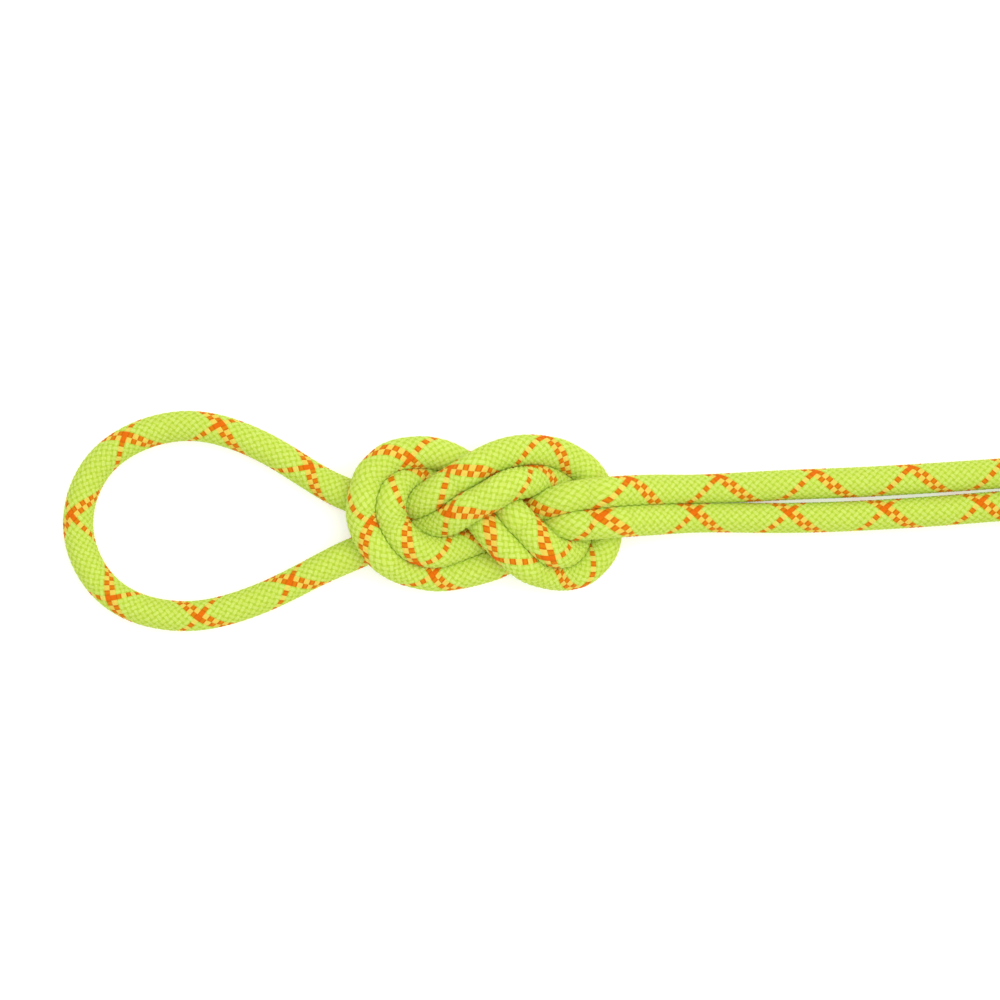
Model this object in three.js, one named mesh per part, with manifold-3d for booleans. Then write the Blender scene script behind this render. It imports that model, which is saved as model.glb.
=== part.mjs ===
// Dynamic climbing rope: a 60 m single rope of 9.8 mm with a figure-eight knot on a bight, its loop and two
// standing strands laid out flat, and the rest wound into an oblong hank held by two straps.
// Millimetres, +Z up. The origin is the middle of the hank's underside, on the floor, and the hank's runs
// and the standing strands lie along X.
import * as THREE from 'three';
import Module from 'manifold-3d';
import { mergeVertices } from 'three/addons/utils/BufferGeometryUtils.js';

// ---- Rope ----
const DIAMETER = 9.8;
const RADIUS = DIAMETER / 2;
const ROPE_LENGTH = 60000;
const FREE_LENGTH = 1250; // the stretch outside the hank, along ROUTE
const SHEATH_WALL = 1.2;
const GAP = 0.3; // left between pieces that touch
const SHEATH_SIDES = 10;
const STRAND_SIDES = 5;

// ---- Core: one strand in the middle and eight round it, with a flat marker tape among them ----
const OUTER_STRANDS = 8;
const BORE_RADIUS = RADIUS - SHEATH_WALL;
const STRAND_RADIUS = 0.7;
const STRAND_RING = 2.1;
const TAPE_WIDTH = 0.6;
const TAPE_THICKNESS = 0.35;
const TAPE_RADIUS = 1.2;

// ---- Hank: turns wound side by side in columns and layers, round two folds ----
const COLUMNS = 6;
const LAYERS = 16;
const FOLD_RADIUS = 3 * DIAMETER; // centre line of the innermost turn
const LAPS = LAYERS * (COLUMNS - 0.5);
const OUTER_TURN = FOLD_RADIUS + (COLUMNS - 1) * DIAMETER;
const LAP_ARC = Math.PI * (FOLD_RADIUS + OUTER_TURN);
const LAST_LAP_SHORT = Math.PI * OUTER_TURN + 24; // the last lap stops before its second fold
const SHIFTS = 110; // what the entry and the shifts from turn to turn add to the laps
const RUN = ((ROPE_LENGTH - FREE_LENGTH - SHIFTS + LAST_LAP_SHORT) / LAPS - LAP_ARC) / 2; // straight part of a turn
const HANK_RADIUS = OUTER_TURN + RADIUS;
const HANK_HEIGHT = LAYERS * DIAMETER;
const FOLD_SEGMENTS = 14;

// ---- Straps: webbing round the hank, let into it by its own pressure ----
const STRAP_PLACES = [-50, 50];
const STRAP_WIDTH = 25;
const STRAP_THICKNESS = 1.5;
const STRAP_CORNER = 6;
const TAB_LENGTH = 48;

// ---- Rope ends: a shrink sleeve over the sheath, and the tip melted into a button ----
const SLEEVE_LENGTH = 32;
const SLEEVE_WALL = 0.6;
const SLEEVE_RADIUS = RADIUS + GAP + SLEEVE_WALL;
const SLEEVE_SIDES = 24;
const TIP_LENGTH = 3;
const TIP_FROM_SLEEVE = 4;

// The end on the hank lies in the outer turn of the top layer, along its front run.
const END_FROM = 35;
const END_TO = -18;
const END_LIFT = 0.8; // the sleeve holds the end this far off its neighbours

// ---- Knot: its middle lies this far from the hank's near end, and this far to the side ----
const KNOT_TO_HANK = 243.4;
const KNOT_SIDE = 40;
const ENTRY_BEFORE_RUN = 40; // where the rope joins the hank's outer turn, before the run starts

// The rope's centre line outside the hank, from its near end through the knot, round the loop, back through
// the knot beside itself, and on to the hank. The middle of the knot is 0, 0.
const ROUTE = [
  // standing strand that ends in the sleeve
  [208, -2.5, SLEEVE_RADIUS], [187, -2, SLEEVE_RADIUS], [166, -1.7, SLEEVE_RADIUS], [150, -3.1, 5],
  [117.5, -5.2, 5], [90, -6, 5], [65.5, -5.5, 7],
  // over the right collar, under the lower diagonal, round the left collar
  [36.5, -7, 15], [21, -9, 12], [1.5, -18, 5], [-19.5, -25.2, 8], [-38.5, -18.5, 15],
  [-45.2, -2.5, 15], [-36.8, 12, 15], [-19.5, 15.2, 12],
  // under the upper diagonal, over the standing strands, round the right collar
  [-6.5, 8.5, 10], [6.5, -6, 15], [18.5, -17.5, 12], [27, -12.5, 5], [25, 2.5, 6],
  // back over the top to the loop
  [10, 6.5, 16], [-6, -2.5, 20], [-23, -10, 9], [-50.5, -18.5, 5],
  // the loop
  [-79, -33, 5], [-103, -39, 5], [-127.8, -32, 5], [-139.4, -10, 5], [-131, 14, 5],
  [-103, 25.5, 5], [-78, 18.3, 5], [-52.5, 2, 5],
  // the same way back, beside the first pass
  [-34.5, -2, 5], [-17, 5, 15], [3, 16.8, 19], [23.6, 13.2, 8], [35.3, -4, 5], [27.8, -20.5, 8],
  [10.5, -22.8, 15], [-4, -10, 13], [-22, 8, 11], [-37.1, 4.5, 16], [-37.7, -10.5, 16],
  [-22.5, -17.8, 9], [3.5, -8, 5], [19.5, 0.5, 12], [36.5, 2.6, 15],
  // standing strand that runs to the hank
  [65.5, 3.3, 5], [92, 4.9, 5], [117.5, 5.8, 5], [166.5, 8.9, 5], [190, 11, 5], [222, 19.5, 5],
  [256, 33, 5],
  [KNOT_TO_HANK + HANK_RADIUS - ENTRY_BEFORE_RUN, OUTER_TURN - KNOT_SIDE, RADIUS],
];

// ---- Settling of the knot: strands push each other a diameter apart and lie on the floor ----
const LINK = 4; // spacing of the points that settle
const ROUNDS = 300;
const STIFFNESS = 0.2;
const HOLD = 0.03; // pull back to the tied shape, seen from above
const SINK = 0.02;
const APART = DIAMETER + 0.5;
const PUSH = 0.4;
const NEXT_LINKS = 5; // links this near along the rope don't push each other
const SLEEVED_LINKS = 10; // links at the near end that their sleeve keeps straight

// ---- Sections of the swept rope ----
const SECTION_TURN = THREE.MathUtils.degToRad(24);
const SECTION_REACH = 40;

const GREEN = { color: '#c3e53f', roughness: 0.75, metalness: 0 };
const WHITE = { color: '#f2f0e8', roughness: 0.8, metalness: 0 };
const YELLOW = { color: '#e9c52e', roughness: 0.45, metalness: 0 };
const BLACK = { color: '#232427', roughness: 0.5, metalness: 0 };
const STRAP_GREY = { color: '#33363b', roughness: 0.85, metalness: 0 };

const wasm = await Module();
wasm.setup();

const rope = new THREE.Group();

function add(name, geometry, finish, parent = rope) {
  const mesh = new THREE.Mesh(geometry, new THREE.MeshStandardMaterial(finish));
  mesh.name = name;
  parent.add(mesh);
  return mesh;
}

// ---- Centre line ----

// Points a fixed link apart along a smooth curve through the route.
function links(route) {
  const points = route.map(([x, y, z]) => new THREE.Vector3(x, y, z));
  const curve = new THREE.CatmullRomCurve3(points, false, 'centripetal');
  curve.arcLengthDivisions = points.length * 24;
  return curve.getSpacedPoints(Math.round(curve.getLength() / LINK));
}

// How far each link is pushed by the links that lie less than APART from it.
function pushes(line) {
  const moves = line.map(() => new THREE.Vector3());
  const counts = line.map(() => 0);
  const across = new THREE.Vector3();
  for (let i = 0; i < line.length; i += 1) {
    for (let j = i + NEXT_LINKS + 1; j < line.length; j += 1) {
      across.subVectors(line[i], line[j]);
      const distance = across.length();
      if (distance < APART) {
        across.multiplyScalar((PUSH * (APART - distance)) / distance);
        moves[i].add(across);
        moves[j].sub(across);
        counts[i] += 1;
        counts[j] += 1;
      }
    }
  }
  return moves.map((move, i) => move.divideScalar(Math.max(counts[i], 1)));
}

// The rope as it lies: stiff enough to bend smoothly, a diameter from itself, and down on the floor.
function settle(tied) {
  const line = tied.map((point) => point.clone());
  for (let round = 0; round < ROUNDS; round += 1) {
    const before = line.map((point) => point.clone());
    for (let i = SLEEVED_LINKS; i < line.length - 1; i += 1) {
      const middle = new THREE.Vector3().addVectors(before[i - 1], before[i + 1]).divideScalar(2);
      line[i].lerp(middle, STIFFNESS);
      line[i].x += HOLD * (tied[i].x - line[i].x);
      line[i].y += HOLD * (tied[i].y - line[i].y);
      line[i].z -= SINK;
    }
    const moves = pushes(line);
    for (let i = SLEEVED_LINKS; i < line.length - 1; i += 1) {
      line[i].add(moves[i]);
      line[i].z = Math.max(line[i].z, RADIUS);
    }
  }
  return line;
}

// A new section where the sleeve ends, and wherever the rope has turned by SECTION_TURN or run on by SECTION_REACH.
function sections(line) {
  const kept = [line[0]];
  let turned = 0;
  let reach = 0;
  for (let i = 1; i < line.length - 1; i += 1) {
    const arriving = new THREE.Vector3().subVectors(line[i], line[i - 1]);
    const leaving = new THREE.Vector3().subVectors(line[i + 1], line[i]);
    turned += arriving.angleTo(leaving);
    reach += arriving.length();
    if (i === SLEEVED_LINKS - 1 || turned > SECTION_TURN || reach >= SECTION_REACH) {
      kept.push(line[i]);
      turned = 0;
      reach = 0;
    }
  }
  kept.push(line[line.length - 1]);
  return kept;
}

// A curve whose extrusion steps fall on its own points, close together only where the rope bends.
class RopeLine extends THREE.CatmullRomCurve3 {
  getUtoTmapping(u) {
    return u;
  }
}

function sweep(shape, line) {
  return new THREE.ExtrudeGeometry(shape, {
    steps: line.points.length - 1,
    extrudePath: line,
    curveSegments: 1,
  });
}

// ---- Outlines ----

function polygon(radius, sides, x = 0, y = 0) {
  const corners = [];
  for (let i = 0; i < sides; i += 1) {
    const angle = (2 * Math.PI * i) / sides;
    corners.push(new THREE.Vector2(x + radius * Math.cos(angle), y + radius * Math.sin(angle)));
  }
  return corners;
}

function tubeOutline(outer, inner, sides) {
  const shape = new THREE.Shape(polygon(outer, sides));
  shape.holes.push(new THREE.Path(polygon(inner, sides)));
  return shape;
}

function tapeOutline() {
  const [x, y] = [TAPE_THICKNESS / 2, TAPE_WIDTH / 2];
  const turn = Math.PI / OUTER_STRANDS;
  const corners = [[-x, -y], [x, -y], [x, y], [-x, y]];
  return new THREE.Shape(
    corners.map(([a, b]) => new THREE.Vector2(a + TAPE_RADIUS, b).rotateAround(new THREE.Vector2(), turn)),
  );
}

function stadium(run, radius) {
  const shape = new THREE.Shape();
  shape.moveTo(-run / 2, -radius);
  shape.lineTo(run / 2, -radius);
  shape.absarc(run / 2, 0, radius, -Math.PI / 2, Math.PI / 2, false);
  shape.lineTo(-run / 2, radius);
  shape.absarc(-run / 2, 0, radius, Math.PI / 2, (3 * Math.PI) / 2, false);
  return shape;
}

function roundedRectangle(halfWidth, low, high, corner) {
  const shape = new THREE.Shape();
  shape.moveTo(-halfWidth + corner, low);
  shape.lineTo(halfWidth - corner, low);
  shape.absarc(halfWidth - corner, low + corner, corner, -Math.PI / 2, 0, false);
  shape.lineTo(halfWidth, high - corner);
  shape.absarc(halfWidth - corner, high - corner, corner, 0, Math.PI / 2, false);
  shape.lineTo(-halfWidth + corner, high);
  shape.absarc(-halfWidth + corner, high - corner, corner, Math.PI / 2, Math.PI, false);
  shape.lineTo(-halfWidth, low + corner);
  shape.absarc(-halfWidth + corner, low + corner, corner, Math.PI, (3 * Math.PI) / 2, false);
  return shape;
}

// ---- Solids ----

function solid(geometry) {
  const bare = geometry.clone();
  bare.deleteAttribute('normal');
  bare.deleteAttribute('uv');
  const merged = mergeVertices(bare, 1e-4);
  return new wasm.Manifold(new wasm.Mesh({
    numProp: 3,
    vertProperties: new Float32Array(merged.attributes.position.array),
    triVerts: new Uint32Array(merged.index.array),
  }));
}

function fromSolid(manifold) {
  const mesh = manifold.getMesh();
  const geometry = new THREE.BufferGeometry();
  geometry.setAttribute('position', new THREE.BufferAttribute(new Float32Array(mesh.vertProperties), 3));
  geometry.setIndex(new THREE.BufferAttribute(new Uint32Array(mesh.triVerts), 1));
  return geometry;
}

function block(size, centre) {
  return new THREE.BoxGeometry(...size).translate(...centre);
}

// An outline drawn in Y and Z, made width long in X about x.
function acrossHank(shape, width, x) {
  const geometry = new THREE.ExtrudeGeometry(shape, { depth: width, bevelEnabled: false, curveSegments: 4 });
  const turn = new THREE.Matrix4().makeBasis(
    new THREE.Vector3(0, 1, 0),
    new THREE.Vector3(0, 0, 1),
    new THREE.Vector3(1, 0, 0),
  );
  return geometry.applyMatrix4(turn).translate(x - width / 2, 0, 0);
}

// ---- Rope outside the hank ----

function freeRope(line) {
  add('sheath', sweep(tubeOutline(RADIUS, BORE_RADIUS, SHEATH_SIDES), line), GREEN);
  add('core_strand_1', sweep(new THREE.Shape(polygon(STRAND_RADIUS, STRAND_SIDES)), line), WHITE);
  for (let i = 0; i < OUTER_STRANDS; i += 1) {
    const angle = (2 * Math.PI * i) / OUTER_STRANDS;
    const [x, y] = [STRAND_RING * Math.cos(angle), STRAND_RING * Math.sin(angle)];
    const outline = new THREE.Shape(polygon(STRAND_RADIUS, STRAND_SIDES, x, y));
    add(`core_strand_${i + 2}`, sweep(outline, line), WHITE);
  }
  add('marker_tape', sweep(tapeOutline(), line), YELLOW);
}

// A melted tip: a button with a rounded rim, lathed about Y and built from its flat back.
function tipGeometry() {
  const profile = [[0, 0], [RADIUS - 0.2, 0], [RADIUS, 0.8], [RADIUS - 0.7, 2.1], [2.2, TIP_LENGTH]];
  const points = profile.map(([r, y]) => new THREE.Vector2(r, y));
  points.push(new THREE.Vector2(0, TIP_LENGTH));
  return new THREE.LatheGeometry(points, SLEEVE_SIDES);
}

// Sleeve and tip of one rope end. The rope's cut face is at end, and facing points out of it.
function ropeEnd(prefix, end, facing) {
  const group = new THREE.Group();
  group.position.copy(end);
  group.quaternion.setFromUnitVectors(new THREE.Vector3(0, 1, 0), facing);
  rope.add(group);
  const inner = RADIUS + GAP;
  const outer = SLEEVE_RADIUS;
  const far = -TIP_FROM_SLEEVE;
  const near = far - SLEEVE_LENGTH;
  const wall = [[inner, near], [outer, near], [outer, far], [inner, far], [inner, near]];
  const points = wall.map(([r, y]) => new THREE.Vector2(r, y));
  add(`${prefix}_sleeve`, new THREE.LatheGeometry(points, SLEEVE_SIDES), BLACK, group);
  add(`${prefix}_tip`, tipGeometry(), BLACK, group).position.y = GAP;
}

// ---- Hank ----

function hank() {
  const turns = new THREE.ExtrudeGeometry(stadium(RUN, HANK_RADIUS), {
    depth: HANK_HEIGHT,
    bevelEnabled: false,
    curveSegments: FOLD_SEGMENTS,
  });
  let body = solid(turns);
  const depth = STRAP_THICKNESS + GAP;
  const waist = roundedRectangle(HANK_RADIUS - depth, depth, HANK_HEIGHT - depth, STRAP_CORNER);
  for (const x of STRAP_PLACES) {
    const width = STRAP_WIDTH + 2 * GAP;
    const slab = block([width, 3 * HANK_RADIUS, 3 * HANK_HEIGHT], [x, 0, HANK_HEIGHT / 2]);
    const groove = solid(slab).subtract(solid(acrossHank(waist, 2 * width, x)));
    body = body.subtract(groove);
  }
  return fromSolid(body.subtract(solid(endSeat())));
}

const END_Y = -OUTER_TURN - END_LIFT;
const END_Z = HANK_HEIGHT - RADIUS + END_LIFT;

// The room that the rope's end and its sleeve take out of the hank's top edge.
function endSeat() {
  const reach = SLEEVE_RADIUS + GAP;
  const low = END_TO - TIP_LENGTH - 2 * GAP;
  const length = END_FROM + GAP - low;
  return block([length, 2 * reach, 2 * reach], [low + length / 2, END_Y, END_Z]);
}

function hankEnd() {
  const outline = new THREE.Shape(polygon(RADIUS, SLEEVE_SIDES));
  add('rope_end', acrossHank(outline, END_FROM - END_TO, 0), GREEN)
    .position.set((END_FROM + END_TO) / 2, END_Y, END_Z);
  ropeEnd('hank_end', new THREE.Vector3(END_TO, END_Y, END_Z), new THREE.Vector3(-1, 0, 0));
}

function straps() {
  STRAP_PLACES.forEach((x, i) => {
    const band = roundedRectangle(HANK_RADIUS, 0, HANK_HEIGHT, STRAP_CORNER + STRAP_THICKNESS);
    const hole = roundedRectangle(
      HANK_RADIUS - STRAP_THICKNESS,
      STRAP_THICKNESS,
      HANK_HEIGHT - STRAP_THICKNESS,
      STRAP_CORNER,
    );
    band.holes.push(hole);
    add(`strap_${i + 1}`, acrossHank(band, STRAP_WIDTH, x), STRAP_GREY);
    const z = HANK_HEIGHT + GAP + STRAP_THICKNESS / 2;
    add(`strap_${i + 1}_tab`, block([STRAP_WIDTH, TAB_LENGTH, STRAP_THICKNESS], [x, 0, z]), STRAP_GREY);
  });
}

// ---- Assembly ----

const knotPlace = new THREE.Vector3(-(RUN / 2 + HANK_RADIUS + KNOT_TO_HANK), KNOT_SIDE, 0);
const lying = settle(links(ROUTE)).map((point) => point.add(knotPlace));
const line = new RopeLine(sections(lying), false, 'centripetal');
freeRope(line);
ropeEnd('tail', lying[0], line.getTangent(0).negate());
add('rope_hank', hank(), GREEN);
hankEnd();
straps();

export default rope;
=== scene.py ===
"""Looks of the dynamic climbing rope: a finely braided free stretch with its knot and loop, the wound hank,
the sleeved and melted ends, and the straps. Metres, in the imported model's frame."""

import math

import bmesh
import bpy
import numpy as np
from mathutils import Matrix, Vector


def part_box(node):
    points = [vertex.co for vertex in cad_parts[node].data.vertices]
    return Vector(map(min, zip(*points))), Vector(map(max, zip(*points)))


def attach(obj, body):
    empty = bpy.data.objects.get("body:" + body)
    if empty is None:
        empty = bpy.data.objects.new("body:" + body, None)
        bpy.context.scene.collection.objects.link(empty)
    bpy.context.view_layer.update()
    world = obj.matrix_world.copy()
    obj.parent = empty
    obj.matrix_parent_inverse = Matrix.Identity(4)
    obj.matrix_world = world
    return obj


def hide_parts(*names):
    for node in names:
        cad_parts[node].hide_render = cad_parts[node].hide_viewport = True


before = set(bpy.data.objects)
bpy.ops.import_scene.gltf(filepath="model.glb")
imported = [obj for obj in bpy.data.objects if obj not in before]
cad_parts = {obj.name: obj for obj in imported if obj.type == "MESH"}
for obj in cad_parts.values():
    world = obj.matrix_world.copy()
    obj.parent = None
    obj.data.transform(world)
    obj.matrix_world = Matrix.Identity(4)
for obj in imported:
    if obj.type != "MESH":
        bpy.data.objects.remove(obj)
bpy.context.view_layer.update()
HANK_LOW, HANK_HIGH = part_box("rope_hank")

# ---- Rope ----
DIAMETER = 0.0098
RADIUS = DIAMETER / 2

# ---- Braid: carriers lie one over, one under, and half of them run each way round the rope ----
CARRIERS = 24
ONE_WAY = CARRIERS // 2  # carriers that run the same way
PITCH = 0.0308  # length in which a carrier goes once round
CELL = PITCH / CARRIERS
THICK_TRACER = (0, 1)  # orange carriers that run one way
THIN_TRACER = (0,)  # and the other way
FINE = 4  # mesh faces along a float's side on the free stretch
RELIEF = 0.00036  # height of a float over the gaps
BOW = np.array([0.0, 0.8, 1.0, 0.8])  # share of it along a float, at the corners of the faces
GROOVE = np.array([0.0, 1.0, 0.35, 1.0])  # and across it: its two yarns leave a groove between them
# How the braid lies along the free stretch: distance from the tail, how many times the tracers have crossed,
# and on which side they cross there, in degrees about the line. They cross twice in each pitch.
CROSSINGS = [
    (0.0512, 0, 28), (0.1765, 8, 28), (0.2381, 12, -11), (0.2683, 14, -2), (0.2988, 16, -2), (0.36, 20, 11),
    (0.4043, 24, 20), (0.433, 26, -25), (0.4951, 30, -27), (0.5271, 32, -45), (0.5866, 36, -66),
    (0.6476, 40, -66), (0.6796, 42, -73), (0.7361, 46, -81), (0.7666, 48, -90), (0.8495, 54, -101),
    (0.8965, 57, -110), (0.9235, 59, -97), (0.9652, 62, -73), (0.9987, 64, -68), (1.0927, 70, -68),
]
FIRST_CROSSING = (1.5, -0.5)  # steps round and along from the seam of the carriers to where tracers cross

# ---- Core ----
OUTER_STRANDS = 8
STRAND_RADIUS = 0.0007
STRAND_RING = 0.0021
STRAND_SIDES = 8
TAPE_WIDTH = 0.0006
TAPE_THICKNESS = 0.00035
TAPE_RADIUS = 0.0012
CORE_STEP = 10  # rings of the braid between sections of the core

# ---- Knot, as it was tied: the route of the centre line outside the hank, round the middle of the knot ----
KNOT_TO_HANK = 0.2434
KNOT_SIDE = 0.040
ENTRY_BEFORE_RUN = 0.040
SLEEVE_RADIUS = 0.0058
HANK_RADIUS = (HANK_HIGH.y - HANK_LOW.y) / 2
OUTER_TURN = HANK_RADIUS - RADIUS
KNOT = Vector((HANK_LOW.x - KNOT_TO_HANK, KNOT_SIDE, 0))
ROUTE = [
    # standing strand that ends in the sleeve
    (0.208, -0.0025, SLEEVE_RADIUS), (0.187, -0.002, SLEEVE_RADIUS), (0.166, -0.0017, SLEEVE_RADIUS),
    (0.15, -0.0031, 0.005), (0.1175, -0.0052, 0.005), (0.09, -0.006, 0.005), (0.0655, -0.0055, 0.007),
    # over the right collar, under the lower diagonal, round the left collar
    (0.0365, -0.007, 0.015), (0.021, -0.009, 0.012), (0.0015, -0.018, 0.005), (-0.0195, -0.0252, 0.008),
    (-0.0385, -0.0185, 0.015), (-0.0452, -0.0025, 0.015), (-0.0368, 0.012, 0.015),
    (-0.0195, 0.0152, 0.012),
    # under the upper diagonal, over the standing strands, round the right collar
    (-0.0065, 0.0085, 0.01), (0.0065, -0.006, 0.015), (0.0185, -0.0175, 0.012), (0.027, -0.0125, 0.005),
    (0.025, 0.0025, 0.006),
    # back over the top to the loop
    (0.01, 0.0065, 0.016), (-0.006, -0.0025, 0.02), (-0.023, -0.01, 0.009), (-0.0505, -0.0185, 0.005),
    # the loop
    (-0.079, -0.033, 0.005), (-0.103, -0.039, 0.005), (-0.1278, -0.032, 0.005), (-0.1394, -0.01, 0.005),
    (-0.131, 0.014, 0.005), (-0.103, 0.0255, 0.005), (-0.078, 0.0183, 0.005), (-0.0525, 0.002, 0.005),
    # the same way back, beside the first pass
    (-0.0345, -0.002, 0.005), (-0.017, 0.005, 0.015), (0.003, 0.0168, 0.019), (0.0236, 0.0132, 0.008),
    (0.0353, -0.004, 0.005), (0.0278, -0.0205, 0.008), (0.0105, -0.0228, 0.015), (-0.004, -0.01, 0.013),
    (-0.022, 0.008, 0.011), (-0.0371, 0.0045, 0.016), (-0.0377, -0.0105, 0.016),
    (-0.0225, -0.0178, 0.009), (0.0035, -0.008, 0.005), (0.0195, 0.0005, 0.012), (0.0365, 0.0026, 0.015),
    # standing strand that runs to the hank
    (0.0655, 0.0033, 0.005), (0.092, 0.0049, 0.005), (0.1175, 0.0058, 0.005), (0.1665, 0.0089, 0.005),
    (0.19, 0.011, 0.005), (0.222, 0.0195, 0.005), (0.256, 0.033, 0.005),
    (KNOT_TO_HANK + HANK_RADIUS - ENTRY_BEFORE_RUN, OUTER_TURN - KNOT_SIDE, RADIUS),
]

# ---- Settling, as in the CAD model, but here the passes may press into each other ----
LINK = 0.004  # spacing of the points that settle
ROUNDS = 300
STIFFNESS = 0.2
HOLD = 0.03  # how strongly a point is drawn back to the route, as seen from above
SINK = 0.00002
APART = DIAMETER - 0.0006
PUSH = 0.4
NEXT_LINKS = 5  # neighbours that don't push each other
SLEEVED_LINKS = 10  # kept straight by the sleeve
SMOOTH_STEPS = 24  # points of a smooth curve from one given point to the next

# ---- Hank ----
COLUMNS = 6
LAYERS = 16
FOLD_RADIUS = 3 * DIAMETER
RUN = (HANK_HIGH.x - HANK_LOW.x) - 2 * HANK_RADIUS
ENTRY_POINTS = 8
TURN_POINTS = 32  # along each run and each fold
END_POINTS = 25  # along the last run, up to the rope's end
SEEN_INSIDE = 9  # the lowest layer whose inner turns can be seen from above
END_TO = -0.018  # where the rope's end lies on the front run, along the hank
END_LIFT = 0.0008  # the sleeve holds the end this far off its neighbours
HIDDEN_STEP = 16  # cells between sections of the turns that nobody sees
HIDDEN_SIDES = 8

# ---- Straps ----
STRAP_PLACES = (-0.050, 0.050)
STRAP_WIDTH = 0.025
STRAP_THICKNESS = 0.0015
STRAP_CORNER = 0.006
CORNER_POINTS = 33
STRAP_SINK = 0.0018  # how far a strap presses the turns in
STRAP_EASE = 0.014  # and how far beside it they ease back
WEB_STEP = 0.0008
WEB_COLUMNS = 32
WEB_EDGE = 0.0003  # how far the weave stops short of the webbing's edges
EDGE_DROP = 0.0001
BACK_POINTS = 5
BACK_INSET = 0.0002
WEAVE = 0.00012  # how far the webbing's yarns stand up and sink
TAB_THICKNESS = 0.0013
TAB_ROWS = 61
TAB_CORNER = 0.004
TAB_EDGE = 0.0002  # the tab is this much narrower than the strap on each side
TAB_DROP = 0.00012
HEM_LENGTH = 0.009
HEM_HEIGHT = 0.00018
HEM_SEAM = 0.0095  # from the tab's free end
SEAM_INSET = 0.003
SEWN_TO = 0.019  # from the tab's other end
STITCH_SINK = 0.00016
STITCH_STEP = 0.003
STITCH_RADIUS = 0.00026
STITCH_SIDES = 6
STITCH_REACH = 0.4  # half a stitch's length, as a share of the step
STITCH_DIP = 0.0002
STITCH_SHAPE = ((-1, 0.15), (-0.8, 0.8), (-0.3, 1), (0.3, 1), (0.8, 0.8), (1, 0.15))  # place and thickness

# ---- Rope ends ----
SLEEVE_LENGTH = 0.032
SLEEVE_INSIDE = RADIUS + 0.00022
SLEEVE_OUTSIDE = RADIUS + 0.0007
SLEEVE_GRIP = 0.010  # how far inside its two ends the sleeve is tightest
SLEEVE_SIDES = 96
SLEEVE_EMBOSS = 0.00012  # how far the braid shows through the sleeve
SLEEVE_WAVES = 0.00004  # what shrinking leaves
EMBOSS_FADE = 0.001
TIP_FROM_SLEEVE = 0.004
TIP_BACK = -0.0012  # where the melted tip starts, from the rope's end
TIP_LUMPS = 0.00016
TIP_SIDES = 72
PROFILE_STEP = 0.0003

# ---- Fit ----
KNOT_SWELL = 0.08  # the rope is fatter where the knot bends it
KNOT_HALF = 0.048  # half the knot's length
KNOT_EASE = 0.016  # how far beyond it the rope is still a little fatter
TOUCHING = 2.4 * RADIUS  # centre lines further apart than this don't touch
SAME_PASS = 2.2 * DIAMETER  # points nearer than this along the rope are on one pass
CLEARANCE = 0.00003
FLOOR_CLEARANCE = 0.00005
FLATTEST = 0.8  # share of the radius that is left at least where the rope lies on the floor

# ---- Colours ----
# Two greens by turns, then painted shade: a darker green where a float goes under the next carrier, and a
# darker one still for the corners there.
GREENS = [(0.70, 0.87, 0.165), (0.68, 0.85, 0.138), (0.61, 0.79, 0.09), (0.53, 0.73, 0.05)]
# An orange, a darker orange as painted shade where a float goes under the next carrier, and one where two
# tracers cross.
ORANGES = [(0.82, 0.235, 0.0005), (0.74, 0.165, 0.0005), (0.88, 0.175, 0.0005)]
GREEN_TONES, ORANGE_TONES = len(GREENS), len(ORANGES)
# Green floats that cross the thick tracer, and those that cross the thin one, pick up some of its colour.
TINTED = [(0.92, 0.70, 0.10), (0.88, 0.76, 0.12)]
BLACK = (0.012, 0.012, 0.013)
MELTED = (0.055, 0.075, 0.012)
WEBBING = [(0.045, 0.047, 0.052), (0.030, 0.031, 0.035)]
TAB_WEBBING = [(0.024, 0.025, 0.027), (0.015, 0.016, 0.018)]
THREAD = (0.42, 0.43, 0.45)
CORE = (0.82, 0.82, 0.78)
TAPE = (0.80, 0.56, 0.03)

# ---- Studio ----
WORLD_LIGHT = 0.92
SOFTBOX_WATTS = 13.0
SOFTBOX_SIZE = 1.4
SOFTBOX_PLACE = Vector((0.6, 0.35, 1.6))  # from the middle of the knot
FLOOR_HALF = 4
FLOOR_COLOUR = (0.7, 0.7, 0.7)
FLOOR_GLOW = 0.45  # keeps the floor white beside the rope
CAMERA_HEIGHT = 1.1
VIEW_WIDTH = 0.3267  # what the camera sees from side to side, at the height of the rope's middle
SENSOR = 36.0


def make_camera():
    data = bpy.data.cameras.new("camera")
    data.sensor_width = SENSOR
    data.lens = SENSOR * (CAMERA_HEIGHT - RADIUS) / VIEW_WIDTH
    camera = bpy.data.objects.new("camera", data)
    camera.location = (KNOT.x, KNOT.y, CAMERA_HEIGHT)
    bpy.context.scene.collection.objects.link(camera)
    bpy.context.scene.camera = camera


# ---- Centre lines ----


def centripetal(points):
    """Points of a smooth centripetal curve through the given ones."""
    points = np.asarray(points, float)
    ends = np.vstack([2 * points[0] - points[1], points, 2 * points[-1] - points[-2]])
    share = np.arange(SMOOTH_STEPS)[:, None] / SMOOTH_STEPS
    spans = []
    for p0, p1, p2, p3 in zip(ends, ends[1:], ends[2:], ends[3:], strict=False):
        d0, d1, d2 = (np.linalg.norm(b - a) ** 0.5 for a, b in ((p0, p1), (p1, p2), (p2, p3)))
        leave = ((p1 - p0) / d0 - (p2 - p0) / (d0 + d1) + (p2 - p1) / d1) * d1
        arrive = ((p2 - p1) / d1 - (p3 - p1) / (d1 + d2) + (p3 - p2) / d2) * d1
        spans.append(hermite(p1, p2, leave, arrive, share))
    return np.vstack([*spans, points[-1:]])


def hermite(start, end, leave, arrive, share):
    square, cube = share**2, share**3
    return (
        start * (2 * cube - 3 * square + 1)
        + leave * (cube - 2 * square + share)
        + end * (3 * square - 2 * cube)
        + arrive * (cube - square)
    )


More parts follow.
